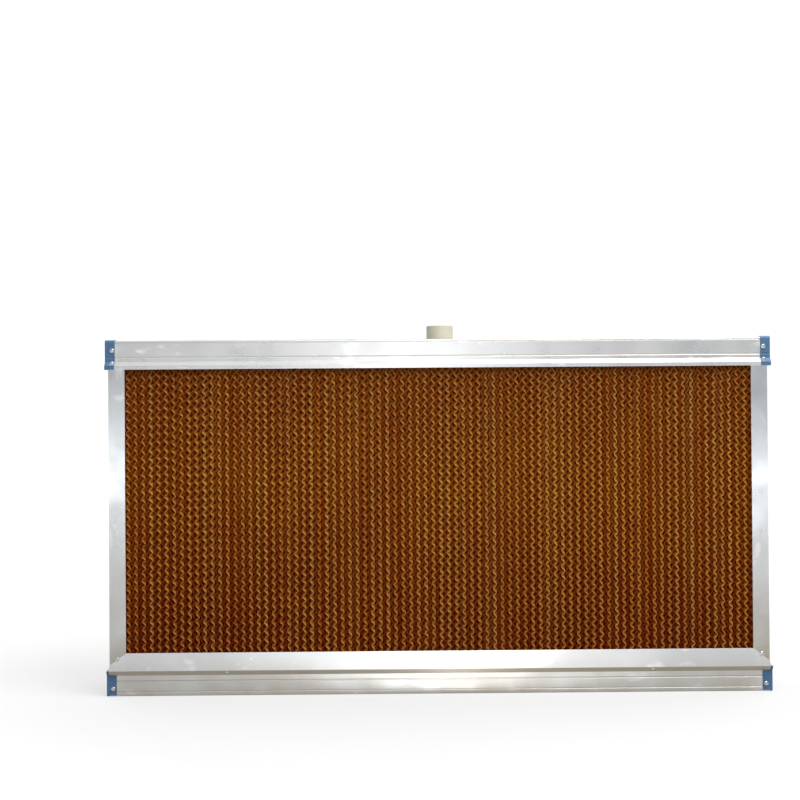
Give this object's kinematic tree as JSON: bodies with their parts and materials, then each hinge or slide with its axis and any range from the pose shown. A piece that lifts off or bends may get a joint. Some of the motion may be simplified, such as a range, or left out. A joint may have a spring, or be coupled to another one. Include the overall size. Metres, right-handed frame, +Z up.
{
  "type": "evaporative cooling pad",
  "caption": "Flat upright frame of extruded aluminium holding cross-fluted cellulose pads that are wetted from a header above and drained into a trough below, so air drawn through is cooled.",
  "frame": {"origin": "on the floor under the middle of the frame's length and thickness", "axes": "+X along the frame, to the right seen from the front; +Y from the front face to the back, along the air's way; +Z up"},
  "size_m": [1.2194, 0.164, 0.677],
  "materials": {
    "aluminium": "extruded, satin",
    "cellulose": "resin-stiffened kraft paper, matte",
    "pvc": "cream, matte",
    "cap_plastic": "moulded blue, satin"
  },
  "bodies": {
    "root": {"header": "aluminium", "trough": "aluminium", "side_channel_left": "aluminium", "side_channel_right": "aluminium", "pad_block_1": "cellulose", "pad_block_2": "cellulose", "spray_pipe": "pvc", "inlet_tee": "pvc", "header_cap_left": "cap_plastic", "header_cap_right": "cap_plastic", "trough_cap_left": "cap_plastic", "trough_cap_right": "cap_plastic"}
  },
  "joints": []
}
